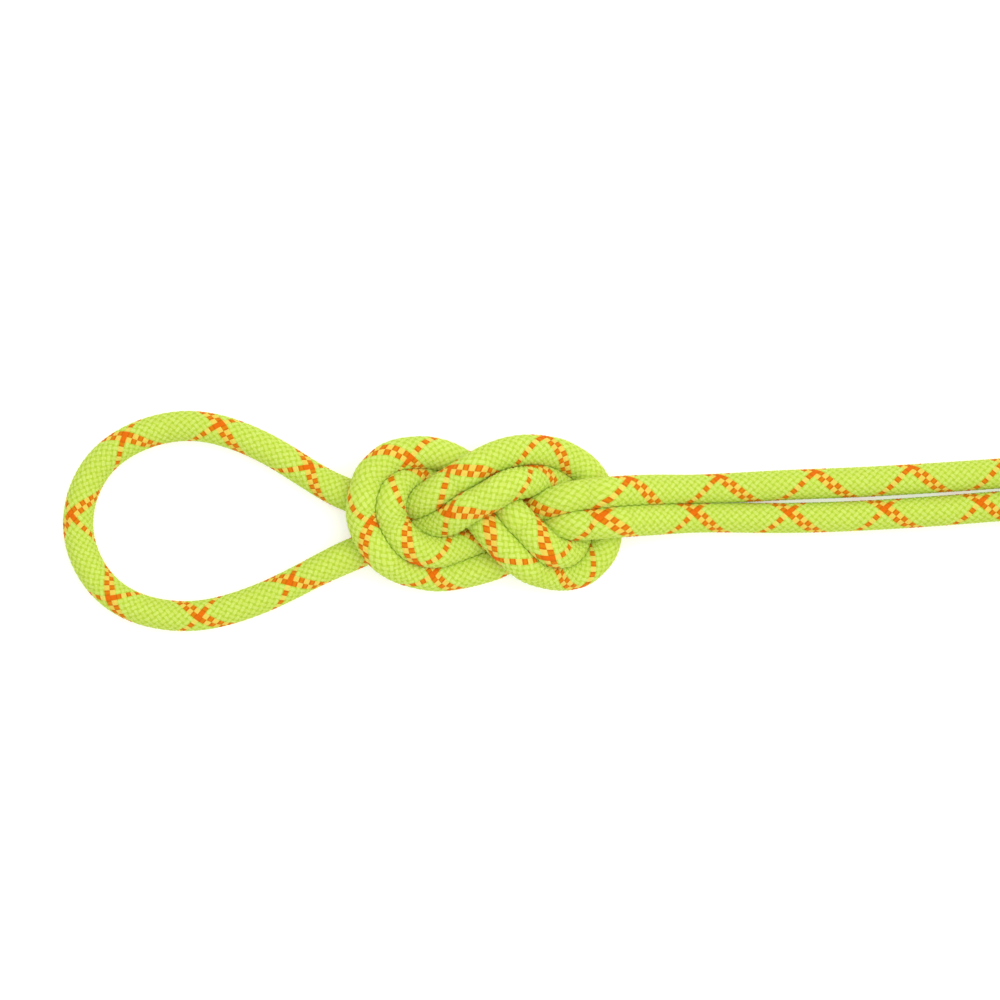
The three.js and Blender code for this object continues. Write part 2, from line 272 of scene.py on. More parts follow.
def distances(points):
    """Distance along a line of points to each of them."""
    return np.concatenate([[0], np.cumsum(np.linalg.norm(np.diff(points, axis=0), axis=1))])


def sampled(points, along, wanted):
    """What rows of numbers known at the distances along become at the wanted distances."""
    return np.column_stack([np.interp(wanted, along, column) for column in points.T])


def evenly(points, step):
    """Points about a step apart along a line of points."""
    along = distances(points)
    return sampled(points, along, np.linspace(0, along[-1], round(along[-1] / step) + 1))


def settle(tied):
    """The rope as it lies: it bends smoothly, keeps a diameter from itself, and rests on the floor."""
    line = tied.copy()
    free = slice(SLEEVED_LINKS, -1)
    first, second = np.triu_indices(len(line), NEXT_LINKS + 1)
    for _ in range(ROUNDS):
        middle = (line[:-2] + line[2:]) / 2
        smoother = line.copy()
        smoother[1:-1] += STIFFNESS * (middle - line[1:-1])
        smoother[:, :2] += HOLD * (tied - smoother)[:, :2]
        smoother[:, 2] -= SINK
        line[free] = smoother[free]
        across = line[first] - line[second]
        gap = np.linalg.norm(across, axis=1)
        near = gap < APART
        push = across[near] * (PUSH * (APART - gap[near]) / gap[near])[:, None]
        moves, counts = np.zeros_like(line), np.zeros(len(line))
        np.add.at(moves, first[near], push)
        np.add.at(moves, second[near], -push)
        np.add.at(counts, first[near], 1)
        np.add.at(counts, second[near], 1)
        moves /= np.maximum(counts, 1)[:, None]
        line[free] += moves[free]
        line[free, 2] = np.maximum(line[free, 2], RADIUS)
    return line


def smooth_line(links):
    """A smooth curve through evenly spaced links."""
    slopes = np.gradient(links, axis=0)
    share = np.linspace(0, 1, SMOOTH_STEPS, endpoint=False)[:, None]
    spans = [
        hermite(links[i], links[i + 1], slopes[i], slopes[i + 1], share)
        for i in range(len(links) - 1)
    ]
    return np.vstack([*spans, links[-1:]])


def spaced(line, marks, count):
    """The line cut into count even steps, and the marks of the points before them."""
    along = distances(line)
    wanted = np.linspace(0, along[-1], count + 1)
    return sampled(line, along, wanted), marks[np.searchsorted(along, wanted, side="right").clip(1) - 1]


def ease(share):
    return share * share * (3 - 2 * share)


def hank_segments():
    """The hank's turns as (part, column from, column to, layer from, layer to), in the order they are wound.
    Part 0 is the back run, 1 the far fold, 2 the front run and 3 the near fold. Odd layers are wound inward
    and shift column on the front run, even ones outward, on the back run. The rope climbs at a fold."""
    out = []
    last = COLUMNS - 1
    for pair in range(LAYERS // 2):
        low, high = 2 * pair, 2 * pair + 1
        for column in range(last, 0, -1):
            out += [(0, column, column, low, low), (1, column, column, low, low)]
            out += [(2, column, column - 1, low, low), (3, column - 1, column - 1, low, low)]
        out += [(0, 0, 0, low, low), (1, 0, 0, low, high), (2, 0, 0, high, high), (3, 0, 0, high, high)]
        for column in range(1, COLUMNS):
            top = high + (column == last)
            out += [(0, column - 1, column, high, high), (1, column, column, high, high)]
            out += [(2, column, column, high, high), (3, column, column, high, top)]
    return out[:-1]


def hank_line():
    """The hank's centre line from where the free stretch meets it, and whether its points can be seen."""
    middle = np.array([(HANK_LOW.x + HANK_HIGH.x) / 2, (HANK_LOW.y + HANK_HIGH.y) / 2, 0])
    entry = np.linspace(-ENTRY_BEFORE_RUN, 0, ENTRY_POINTS, endpoint=False) - RUN / 2
    points = [np.array([(x, OUTER_TURN, RADIUS) for x in entry])]
    shown = [np.ones(ENTRY_POINTS, bool)]
    segments = hank_segments()
    for index, segment in enumerate(segments):
        turn = hank_turn(*segment, index == len(segments) - 1)
        points.append(turn)
        shown.append(np.full(len(turn), in_sight(*segment)))
    points = np.vstack(points)
    return squeezed(points) + middle, np.concatenate(shown)


def hank_turn(part, column, next_column, layer, next_layer, last):
    """Points along one run or fold, without its last one."""
    share = np.linspace(0, 1, TURN_POINTS, endpoint=False)
    if last:
        share = np.linspace(0, 0.5 - END_TO / RUN, END_POINTS)
    inward = ease(np.clip((share - 0.25) / 0.5, 0, 1))
    radius = FOLD_RADIUS + DIAMETER * (column + (next_column - column) * inward)
    height = DIAMETER * (layer + (next_layer - layer) * ease(share) + 0.5)
    if last:
        lift = END_LIFT * ease(np.clip((share - 0.2) / 0.25, 0, 1))
        radius, height = radius + lift, height + lift
    along = RUN * (share - 0.5)
    angle = np.pi * share
    across = (
        (along, radius),
        (RUN / 2 + radius * np.sin(angle), radius * np.cos(angle)),
        (-along, -radius),
        (-RUN / 2 - radius * np.sin(angle), -radius * np.cos(angle)),
    )[part]
    return np.column_stack([*across, height])


def in_sight(part, column, next_column, layer, next_layer):
    """Whether a run or fold can be seen from anywhere round the hank."""
    outside = max(column, next_column) == COLUMNS - 1 or (part == 3 and column == COLUMNS - 2)
    inside = (min(column, next_column) == 0 or (part == 1 and column == 1)) and layer >= SEEN_INSIDE
    return outside or inside or layer == 0 or next_layer == LAYERS - 1


def squeezed(points):
    """The hank's turns, drawn in a little where the straps go round them."""
    tight = np.zeros(len(points))
    for place in STRAP_PLACES:
        off = np.abs(points[:, 0] - place) - STRAP_WIDTH / 2
        tight = np.maximum(tight, 1 - ease(np.clip(off / STRAP_EASE, 0, 1)))
    out = points.copy()
    out[:, 1] *= 1 - tight * STRAP_SINK / HANK_RADIUS
    middle = LAYERS * DIAMETER / 2
    out[:, 2] = middle + (out[:, 2] - middle) * (1 - tight * STRAP_SINK / middle)
    return out


def frames(line, first=(0.0, 0.0, 1.0)):
    """Two directions across the line at each point, which don't turn about it."""
    ahead = np.gradient(line, axis=0)
    ahead /= np.linalg.norm(ahead, axis=1)[:, None]
    side = np.empty_like(ahead)
    last = np.array(first)
    for i, way in enumerate(ahead):
        last = last - way * (last @ way)
        last /= math.sqrt(last @ last)
        side[i] = last
    return side, np.cross(ahead, side)


# ---- Braided tubes ----


def braid_places(rings, fine, start=0):
    """The places of a tube's vertices in steps along and round it. Every other ring is turned by half a step,
    so that the faces are diamonds in line with the carriers."""
    ring = np.repeat(np.arange(rings + 1), CARRIERS * fine // 2)
    place = np.tile(np.arange(0, CARRIERS * fine, 2), rings + 1) + (ring + start) % 2
    return ring, place


def braid_faces(rings, fine, start=0):
    """The tube's faces as (ring, place) corners: diamonds, and half diamonds at both ends."""
    round_it = CARRIERS * fine
    place = np.arange(0, round_it, 2)
    ring = np.arange(1, rings)[:, None]
    q = place[None, :] + (ring + start) % 2
    p = np.broadcast_to(ring, q.shape)
    diamonds = corner_list((p - 1, q + 1), (p, q + 2), (p + 1, q + 1), (p, q))
    q = place + start % 2
    p = np.zeros_like(q)
    first = corner_list((p, q + 2), (p + 1, q + 1), (p, q))
    q = place + (rings + start) % 2
    p = np.full_like(q, rings)
    last = corner_list((p, q), (p - 1, q + 1), (p, q + 2))
    return diamonds, np.concatenate([first, last])


def corner_list(*corners):
    """Faces from arrays of their corners, each given as a pair of arrays."""
    return np.stack([np.stack(pair, -1) for pair in corners], axis=-2).reshape(-1, len(corners), 2)


def braid_tube(line, across, up, radius, fine, start, twist):
    """A tube along line, one ring to each point: its vertices, and the faces with their carrier coordinates
    and tones. radius gives the distance from the line for ring numbers, places and directions."""
    rings = len(line) - 1
    ring, place = braid_places(rings, fine, start)
    angle = place * (2 * np.pi / (CARRIERS * fine)) + twist[ring]
    way = across[ring] * np.cos(angle)[:, None] + up[ring] * np.sin(angle)[:, None]
    points = line[ring] + way * radius(ring, place, way)[:, None]
    diamonds, ends = braid_faces(rings, fine, start)
    faces, carriers, tones = [], [], []
    for corners in (diamonds, ends):
        p, q = corners[..., 0], corners[..., 1]
        index = p * (CARRIERS * fine // 2) + (q % (CARRIERS * fine)) // 2
        n, m = (p + start) / fine, q / fine
        low = (n + m).min(axis=1) / 2, (m - n).min(axis=1) / 2
        turns = np.floor(n.mean(axis=1) / CARRIERS) * CARRIERS
        u, v = (m + n) / 2, (m - n) / 2
        tones.append(float_tone(low[0], low[1], fine))
        carriers.append(np.stack([u - turns[:, None] / 2, v + turns[:, None] / 2], -1))
        faces.append(index)
    return points, faces, carriers, tones


def float_tone(u, v, fine):
    """The material slot of faces whose lowest corner is at carrier coordinates u, v."""
    small = 1e-6
    one, other = np.floor(u + small).astype(int), np.floor(v + small).astype(int)
    over = (one + other) % 2 == 0
    thin, thick = np.isin(one % ONE_WAY, THIN_TRACER), np.isin(other % ONE_WAY, THICK_TRACER)
    tracer, crossed = np.where(over, thin, thick), np.where(over, thick, thin)
    along = np.where(over, v - other, u - one) * fine
    across = np.where(over, u - one, v - other) * fine
    # painted shade: the ends of each float, where it goes under the next carrier, get a darker tone, and
    # their corners a darker one still
    dive_shade = np.abs(along - (fine - 1) / 2) > (fine - 2) / 2 if fine > 1 else np.zeros(len(u), bool)
    corner = dive_shade & (np.abs(across - (fine - 1) / 2) > (fine - 2) / 2)
    green = scattered(one, other)
    green[dive_shade] = GREEN_TONES - 2
    green[corner] = GREEN_TONES - 1
    orange = GREEN_TONES + np.where(crossed, ORANGE_TONES - 1, np.where(dive_shade, 1, 0))
    tinted = GREEN_TONES + ORANGE_TONES + np.where(over, 0, 1)
    return np.where(tracer, orange, np.where(crossed, tinted, green))


def scattered(one, other):
    """0 or 1 for each float, with no pattern that shows, and the same every time."""
    value = np.sin((one - other) * 12.9898 + ((one + other) % CARRIERS) * 78.233) * 43758.5453
    return np.where(value - np.floor(value) > 0.5, 1, 0)


def vertex_relief(ring, place, start):
    """Height of a vertex of the fine braid over the gaps between floats, from 0 to 1."""
    n, m = ring + start, place
    a, b = (m + n) // 2, (m - n) // 2
    over = (a // FINE + b // FINE) % 2 == 0
    return BOW[np.where(over, b % FINE, a % FINE)] * GROOVE[np.where(over, a % FINE, b % FINE)]


def tube_object(name, tubes, materials):
    """One mesh object of several tubes, each closed at its ends."""
    points, faces, uvs, slots, base = [], [], [], [], 0
    for tube_points, tube_faces, carriers, tones in tubes:
        points.append(tube_points)
        for some, carrier, tone in zip(tube_faces, carriers, tones, strict=True):
            faces += (some + base).tolist()
            uvs.append(carrier.reshape(-1, 2))
            slots.append(tone)
        base += len(tube_points)
    mesh = bpy.data.meshes.new(name)
    mesh.from_pydata(np.vstack(points).tolist(), [], faces)
    layer = mesh.uv_layers.new(name="carriers")
    layer.data.foreach_set("uv", np.vstack(uvs).astype(np.float32).ravel())
    mesh.polygons.foreach_set("material_index", np.concatenate(slots).astype(np.int32))
    return link(name, mesh, materials)


def cap(points, tube_faces, carriers, tones, fine):
    """Closes both ends of a tube with a fan round a point in the middle."""
    width = CARRIERS * fine // 2
    start, end = points[:width], points[-width:]
    points = np.vstack([points, start.mean(axis=0), end.mean(axis=0)])
    steps = np.arange(width)
    after = (steps + 1) % width
    first = np.stack([after, steps, np.full(width, len(points) - 2)], 1)
    offset = len(points) - 2 - width
    last = np.stack([steps + offset, after + offset, np.full(width, len(points) - 1)], 1)
    fan = np.vstack([first, last])
    tube_faces.append(fan)
    carriers.append(np.zeros((len(fan), 3, 2)))
    tones.append(np.full(len(fan), GREEN_TONES - 1))
    return points, tube_faces, carriers, tones


def contact_limit(line, way):
    """How far each vertex may stand from the line before it meets the rope's other passes."""
    sparse = line[::4]
    along, along_sparse = distances(line), distances(line)[::4]
    limit = np.full(len(way), np.inf)
    count = len(way) // len(line)
    for i, centre in enumerate(line):
        across = sparse - centre
        gap2 = (across**2).sum(axis=1)
        near = (gap2 < TOUCHING**2) & (np.abs(along_sparse - along[i]) > SAME_PASS)
        if not near.any():
            continue
        mine = slice(i * count, (i + 1) * count)
        facing = way[mine] @ across[near].T
        reach = np.where(facing > 1e-6, gap2[near] / 2 / np.maximum(facing, 1e-6), np.inf)
        limit[mine] = reach.min(axis=1) - CLEARANCE
    return limit


def free_radius(line, first):
    """The free stretch's radius, as braid_tube asks for it: fatter in the knot, flat where it is pressed."""
    swell = 1 - ease(np.clip((np.abs(line[:, 0] - KNOT.x) - KNOT_HALF) / KNOT_EASE, 0, 1))
    body = RADIUS * (1 + KNOT_SWELL * swell) - RELIEF * 0.7

    def radius(ring, place, way):
        full = body[ring] + RELIEF * vertex_relief(ring, place, first)
        to_floor = (line[ring, 2] - FLOOR_CLEARANCE) / -way[:, 2].clip(max=-1e-6)
        lowest = np.where(way[:, 2] < -1e-6, to_floor, np.inf)
        return np.minimum(np.minimum(full, contact_limit(line, way)), np.maximum(lowest, FLATTEST * RADIUS))

    return radius


def braid_steps(along):
    """How far the braid has run at each distance from the tail, in steps of a cell."""
    place, count, _ = np.array(CROSSINGS).T
    before = (along - place[0]) * (count[1] - count[0]) / (place[1] - place[0])
    after = count[-1] + (along - place[-1]) * 2 / PITCH
    between = np.interp(along, place, count)
    count = np.where(along < place[0], before, np.where(along > place[-1], after, between))
    return count * CARRIERS / 2 + FIRST_CROSSING[1]


def braid_turn(along):
    """How far the braid is turned about the line at each distance from the tail."""
    place, _, turn = np.array(CROSSINGS).T
    return np.radians(np.interp(along, place, turn) - FIRST_CROSSING[0] * 360 / CARRIERS)


def in_rings(curve):
    """The curve with a point at each ring of the fine braid, and the number of its first ring."""
    along = distances(curve)
    steps = braid_steps(along) * FINE
    first, last = math.ceil(steps[0]), math.floor(steps[-1] / FINE) * FINE
    wanted = np.interp(np.arange(first, last + 1), steps, along)
    wanted[0], wanted[-1] = 0, along[-1]
    return sampled(curve, along, wanted), first


def make_free_rope(line, first, materials):
    side, other = frames(line)
    turn = braid_turn(distances(line))
    tube = cap(*braid_tube(line, side, other, free_radius(line, first), FINE, first, turn), FINE)
    return tube_object("braid_free", [tube], materials), side[-1], turn[-1]


def round_outline(x, y):
    angle = np.arange(STRAND_SIDES) * 2 * np.pi / STRAND_SIDES
    return np.column_stack([x + STRAND_RADIUS * np.cos(angle), y + STRAND_RADIUS * np.sin(angle)])


def tape_outline():
    """The tape's flat section, between two outer strands and turned to face the middle."""
    x, y = TAPE_THICKNESS / 2, TAPE_WIDTH / 2
    corners = np.array([(-x, -y), (x, -y), (x, y), (-x, y)]) + (TAPE_RADIUS, 0)
    turn = math.pi / OUTER_STRANDS
    matrix = np.array([(math.cos(turn), math.sin(turn)), (-math.sin(turn), math.cos(turn))])
    return corners @ matrix


def grid_faces(rows, around, closed=False):
    """Faces between rows of points, with around points in each. A closed grid's last row meets its first."""
    row, place = np.meshgrid(np.arange(rows if closed else rows - 1), np.arange(around), indexing="ij")
    base, above = row * around, (row + 1) % rows * around
    after = (place + 1) % around
    return np.stack([base + place, base + after, above + after, above + place], -1).reshape(-1, 4)


def make_inside(name, line, outline, material):
    """An outline swept along a line inside the sheath, closed at both ends."""
    side, other = frames(line)
    points = line[:, None] + side[:, None] * outline[None, :, :1] + other[:, None] * outline[None, :, 1:]
    around, count = len(outline), len(line) * len(outline)
    ends = [list(range(around))[::-1], list(range(count - around, count))]
    mesh = bpy.data.meshes.new(name)
    mesh.from_pydata(points.reshape(-1, 3).tolist(), [], grid_faces(len(line), around).tolist() + ends)
    return link(name, mesh, [material])


def stretches(shown):
    """Runs of equal values, as (from, to, value) with the ends shared."""
    change = np.flatnonzero(np.diff(shown.astype(int))) + 1
    bounds = [0, *change.tolist(), len(shown) - 1]
    return [(a, b, bool(shown[a])) for a, b in zip(bounds, bounds[1:], strict=False)]


def make_hank_rope(line, shown, start, side, other, twist, materials):
    tubes = []
    for first, end, seen in stretches(shown):
        part = np.arange(first, end + 1)
        if seen:
            tube = braid_tube(line[part], side[part], other[part], even_radius, 1, start + first, twist[part])
            tubes.append(cap(*tube, 1))
        else:
            tubes.append(plain_tube(line, side, other, part))
    return tube_object("braid_wound", tubes, materials)


def even_radius(ring, place, way):
    return np.full(len(ring), RADIUS)


def plain_tube(line, side, other, part):
    """A tube with few sides, for the turns inside the hank."""
    some = np.unique(np.linspace(part[0], part[-1], max(2, len(part) // HIDDEN_STEP)).astype(int))
    angle = np.arange(HIDDEN_SIDES)[None, :, None] * 2 * np.pi / HIDDEN_SIDES
    way = side[some][:, None] * np.cos(angle) + other[some][:, None] * np.sin(angle)
    points = (line[some][:, None] + way * RADIUS * 0.99).reshape(-1, 3)
    quads = grid_faces(len(some), HIDDEN_SIDES)
    carriers = np.stack([quads % HIDDEN_SIDES * 2.0, quads // HIDDEN_SIDES * 4.0], -1)
    return points, [quads], [carriers], [np.full(len(quads), 1)]


# ---- Making the rope ends ----


def turned(name, place, facing, profile, sides, emboss, closed, material):
    """A piece turned about an axis: profile gives distance out along facing and radius, and emboss what is
    added to the radius. A closed profile makes a ring, and an open one starts and ends on the axis."""
    facing = Vector(facing).normalized()
    turn = np.array(Vector((0, 0, 1)).rotation_difference(facing).to_matrix())
    out, radius = np.array(profile).T
    angle = np.arange(sides) * 2 * np.pi / sides
    out, angle = np.meshgrid(out, angle, indexing="ij")
    radius = radius[:, None] + emboss(out, angle) * (radius[:, None] > 1e-9)
    points = np.stack([radius * np.cos(angle), radius * np.sin(angle), out], -1) @ turn.T + np.array(place)
    mesh = bpy.data.meshes.new(name)
    mesh.from_pydata(points.reshape(-1, 3).tolist(), [], grid_faces(len(profile), sides, closed).tolist())
    body = bmesh.new()
    body.from_mesh(mesh)
    bmesh.ops.remove_doubles(body, verts=body.verts, dist=1e-7)
    bmesh.ops.recalc_face_normals(body, faces=body.faces)
    body.to_mesh(mesh)
    body.free()
    return link(name, mesh, [material])


def link(name, mesh, materials):
    """The mesh as a smooth piece in the scene."""
    for material in materials:
        mesh.materials.append(material)
    mesh.polygons.foreach_set("use_smooth", np.full(len(mesh.polygons), True))
    piece = bpy.data.objects.new(name, mesh)
    bpy.context.scene.collection.objects.link(piece)
    return piece


def dense(profile, step):
    """A profile with points no further than step apart."""
    out = []
    for a, b in zip(profile, profile[1:], strict=False):
        count = max(1, math.ceil(math.dist(a, b) / step))
        out += [tuple(np.array(a) + (np.array(b) - a) * i / count) for i in range(count)]
    return [*out, profile[-1]]


def sleeve_emboss(out, angle):
    """The braid under the shrunk sleeve, and the waves left by shrinking it."""
    m, n = angle * CARRIERS / (2 * np.pi), out / CELL
    floats = np.abs(np.sin(np.pi * (m + n) / 2) * np.sin(np.pi * (m - n) / 2))
    waves = np.sin(3 * angle + out * 260) * np.sin(out * 410 + 1)
    return SLEEVE_EMBOSS * (floats - 0.5) + SLEEVE_WAVES * waves


def make_sleeve(name, place, facing, material):
    """A heat-shrunk sleeve, thinner at its two ends, where it grips the sheath."""
    far, near = -TIP_FROM_SLEEVE, -TIP_FROM_SLEEVE - SLEEVE_LENGTH
    inner, outer = SLEEVE_INSIDE, SLEEVE_OUTSIDE
    lip = [(0, inner), (0.00004, outer - 0.00016), (0.0003, outer - 0.00008), (0.002, outer)]
    outside = [(far - inset, radius) for inset, radius in lip]
    outside += [(near + inset, radius) for inset, radius in lip[::-1]]
    inside = [(near + SLEEVE_GRIP, inner - 0.00004), (far - SLEEVE_GRIP, inner - 0.00004)]

    def emboss(out, angle):
        fade = np.clip(np.minimum(far - out, out - near) / EMBOSS_FADE, 0, 1)
        on_outside = (np.arange(len(out)) < len(out) - len(inside))[:, None]
        return sleeve_emboss(out, angle) * fade * on_outside

    profile = dense(outside, PROFILE_STEP) + inside
    return turned(name, place, facing, profile, SLEEVE_SIDES, emboss, True, material)


def make_tip(name, place, facing, material):
    """The cut end, melted to a blunt button that grips the sheath's edge."""
    profile = [
        (TIP_BACK, 0), (TIP_BACK, RADIUS - 0.0002), (-0.0011, RADIUS + 0.00022), (-0.0006, RADIUS + 0.0003),
        (0.0004, RADIUS + 0.00022), (0.0013, RADIUS - 0.0003), (0.0022, RADIUS - 0.0015), (0.0028, 0.0019),
        (0.0030, 0.0009), (0.0030, 0),
    ]

    def emboss(out, angle):
        lumps = np.sin(3 * angle + 1.3) * 0.5 + np.sin(5 * angle + out * 1500) * 0.35
        ripples = 0.4 * np.sin(11 * angle - out * 2600)
        return TIP_LUMPS * (lumps + ripples) * np.clip((out - TIP_BACK) / 0.0004, 0, 1)

    return turned(name, place, facing, dense(profile, PROFILE_STEP), TIP_SIDES, emboss, False, material)


# ---- Making the straps ----


def rounded_loop(half_width, low, high, corner, step):
    """Points and outward directions of a rounded rectangle in the plane across the hank, evenly spaced."""
    outline = []
    for middle_y, middle_z, first in (
        (half_width - corner, high - corner, 0), (-half_width + corner, high - corner, 90),
        (-half_width + corner, low + corner, 180), (half_width - corner, low + corner, 270),
    ):
        for turn in np.radians(first + np.linspace(0, 90, CORNER_POINTS)):
            out = np.array([math.cos(turn), math.sin(turn)])
            outline.append([*(np.array([middle_y, middle_z]) + corner * out), *out])
    outline = np.array([*outline, outline[0]])
    along = distances(outline[:, :2])
    count = 2 * round(along[-1] / step / 2)
    return sampled(outline, along, np.arange(count) * along[-1] / count)


def web_section(row, width, thickness):
    """A row of webbing: places across it and heights. Every other yarn stands up, by turns row by row."""
    share = np.linspace(-1, 1, WEB_COLUMNS)
    reach = width / 2 - WEB_EDGE
    weave = np.where((np.arange(WEB_COLUMNS) + row) % 2 == 0, 1.0, -1.0)
    edge = np.clip((1 - np.abs(share)) * 12, 0, 1)
    height = thickness / 2 - WEAVE + WEAVE * weave * edge - EDGE_DROP * (1 - edge)
    back = np.linspace(1, -1, BACK_POINTS) * reach
    places = np.concatenate([share * reach, [width / 2], back, [-width / 2]])
    heights = np.concatenate([height, [0.0], np.full(BACK_POINTS, BACK_INSET - thickness / 2), [0.0]])
    return places, heights


def web_tones(rows, around):
    """The material slots of the weave's faces: its yarns are lighter and darker by turns."""
    row, column = np.meshgrid(np.arange(rows), np.arange(around), indexing="ij")
    return np.where((column < WEB_COLUMNS - 1) & ((row + column) % 2 == 0), 0, 1).ravel()


def make_strap(name, place, materials):
    """A band of webbing round the hank, with its middle at place along it."""
    middle = (HANK_LOW.y + HANK_HIGH.y) / 2
    half = STRAP_THICKNESS / 2
    loop = rounded_loop(HANK_RADIUS - half, half, HANK_HIGH.z - half, STRAP_CORNER + half, WEB_STEP)
    points = []
    for row, (y, z, out_y, out_z) in enumerate(loop):
        places, heights = web_section(row, STRAP_WIDTH, STRAP_THICKNESS)
        points.append(np.column_stack([place + places, middle + y + out_y * heights, z + out_z * heights]))
    rows, around = len(points), len(points[0])
    mesh = bpy.data.meshes.new(name)
    mesh.from_pydata(np.vstack(points).tolist(), [], grid_faces(rows, around, closed=True).tolist())
    mesh.polygons.foreach_set("material_index", web_tones(rows, around).astype(np.int32))
    return link(name, mesh, materials)


def tab_half_width(y, half_length):
    """Half the tab's width at y: its corners are rounded."""
    inset = np.clip(TAB_CORNER - (half_length - abs(y)), 0, TAB_CORNER)
    return STRAP_WIDTH / 2 - TAB_EDGE - (TAB_CORNER - math.sqrt(TAB_CORNER**2 - inset**2))


def make_tab(name, node, materials):
    """The tab that closes a strap: webbing with a hem at its free end, sewn down at the other."""
    low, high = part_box(node)
    middle, half_length = (low + high) / 2, (high.y - low.y) / 2
    points = []
    for row, y in enumerate(np.linspace(-half_length, half_length, TAB_ROWS)):
        places, heights = web_section(row, 2, TAB_THICKNESS)
        x = middle.x + places * tab_half_width(y, half_length)
        hem = HEM_HEIGHT if y > half_length - HEM_LENGTH else 0.0
        z = middle.z - TAB_DROP + heights + hem * (heights > 0)
        points.append(np.column_stack([x, np.full(len(x), middle.y + y), z]))
    around = len(points[0])
    last = (TAB_ROWS - 1) * around
    ends = [list(range(around)), list(range(last, last + around))[::-1]]
    faces = grid_faces(TAB_ROWS, around).tolist() + ends
    tones = [*web_tones(TAB_ROWS - 1, around).tolist(), 1, 1]
    points = np.vstack(points).tolist()
    for start, end in stitch_lines(middle, half_length, high.z - STITCH_SINK):
        add_stitches(points, faces, tones, start, end)
    mesh = bpy.data.meshes.new(name)
    mesh.from_pydata(points, [], faces)
    mesh.polygons.foreach_set("material_index", np.array(tones, np.int32))
    return link(name, mesh, materials)


def stitch_lines(middle, half_length, top):
    """A sewn box with a cross in it, and a seam across the hem."""
    x, near, far = STRAP_WIDTH / 2 - SEAM_INSET, -half_length + SEAM_INSET, -half_length + SEWN_TO
    box = [(-x, near), (x, near), (x, far), (-x, far), (-x, near)]
    lines = list(zip(box, box[1:], strict=False)) + [((-x, near), (x, far)), ((x, near), (-x, far))]
    hem = half_length - HEM_SEAM
    lines.append(((-x, hem), (x, hem)))
    return [[(middle.x + a, middle.y + b, top) for a, b in ends] for ends in lines]


def add_stitches(points, faces, tones, start, end):
    """Stitches along a line, each a short bowed thread."""
    start, end = np.array(start), np.array(end)
    length = np.linalg.norm(end - start)
    count = round(length / STITCH_STEP)
    ahead = (end - start) / length
    aside = np.array([-ahead[1], ahead[0], 0])
    for i in range(count):
        middle = start + (end - start) * (i + 0.5) / count
        quads = grid_faces(len(STITCH_SHAPE), STITCH_SIDES) + len(points)
        faces += quads.tolist()
        tones += [2] * len(quads)
        for share, size in STITCH_SHAPE:
            dip = np.array([0, 0, STITCH_DIP * share**2])
            centre = middle + ahead * share * STITCH_STEP * STITCH_REACH - dip
            for side in range(STITCH_SIDES):
                turn = 2 * math.pi * side / STITCH_SIDES
                way = aside * math.cos(turn) + np.array([0, 0, math.sin(turn)])
                points.append((centre + STITCH_RADIUS * size * way).tolist())


# ---- Materials ----


def node_material(name, colour, roughness, sheen=0.0):
    material = bpy.data.materials.new(name)
    material.use_nodes = True
    shader = material.node_tree.nodes["Principled BSDF"]
    shader.inputs["Base Color"].default_value = (*colour, 1)
    shader.inputs["Roughness"].default_value = roughness
    shader.inputs["Sheen Weight"].default_value = sheen
    shader.inputs["Sheen Roughness"].default_value = 0.4
    return material, material.node_tree, shader


def math_node(tree, operation, *values):
    node = tree.nodes.new("ShaderNodeMath")
    node.operation = operation
    for socket, value in zip(node.inputs, values, strict=False):
        if isinstance(value, (int, float)):
            socket.default_value = value
        else:
            tree.links.new(value, socket)
    return node.outputs[0]


def yarn_height(tree, bowed):
    """The height of the twisted yarns that a carrier lays side by side, from the carrier coordinates. Where
    the mesh itself is flat, each float is bowed here."""

    def calc(operation, *values):
        return math_node(tree, operation, *values)

    uv = tree.nodes.new("ShaderNodeUVMap")
    uv.uv_map = "carriers"
    split = tree.nodes.new("ShaderNodeSeparateXYZ")
    tree.links.new(uv.outputs[0], split.inputs[0])
    u, v = split.outputs[0], split.outputs[1]
    part_u, part_v = calc("FRACT", u), calc("FRACT", v)
    cell = calc("ADD", calc("FLOOR", u), calc("FLOOR", v))
    under = calc("MULTIPLY", calc("FRACT", calc("MULTIPLY", cell, 0.5)), 2)
    difference = calc("MULTIPLY", calc("SUBTRACT", part_v, part_u), under)
    across = calc("ADD", part_u, difference)
    along = calc("SUBTRACT", part_v, difference)
    yarn = calc("ABSOLUTE", calc("SINE", calc("MULTIPLY", across, 2 * math.pi)))
    slant = calc("ADD", calc("MULTIPLY", across, 60), calc("MULTIPLY", along, 22))
    fibre = calc("MULTIPLY", calc("SINE", slant), 0.16)
    height = calc("ADD", calc("POWER", yarn, 0.6), fibre)
    if bowed:
        bow = calc("ABSOLUTE", calc("SINE", calc("MULTIPLY", along, math.pi)))
        height = calc("MULTIPLY", height, calc("POWER", bow, 0.7))
    return height


def rope_material(name, colour, bowed):
    material, tree, shader = node_material(name, colour, 0.66, sheen=0.12)
    shader.inputs["Specular IOR Level"].default_value = 0.12
    shader.inputs["Sheen Tint"].default_value = (*colour, 1)
    bump = tree.nodes.new("ShaderNodeBump")
    bump.inputs["Strength"].default_value = 0.9
    bump.inputs["Distance"].default_value = 0.0003 if bowed else 0.00018
    tree.links.new(yarn_height(tree, bowed), bump.inputs["Height"])
    tree.links.new(bump.outputs[0], shader.inputs["Normal"])
    return material


def rope_materials(prefix, bowed):
    """One material for each tone, in the order of the tones' numbers."""
    return [
        rope_material(f"{prefix}_{tone}_{i + 1}", colour, bowed)
        for tone, colours in (("green", GREENS), ("orange", ORANGES), ("tinted", TINTED))
        for i, colour in enumerate(colours)
    ]


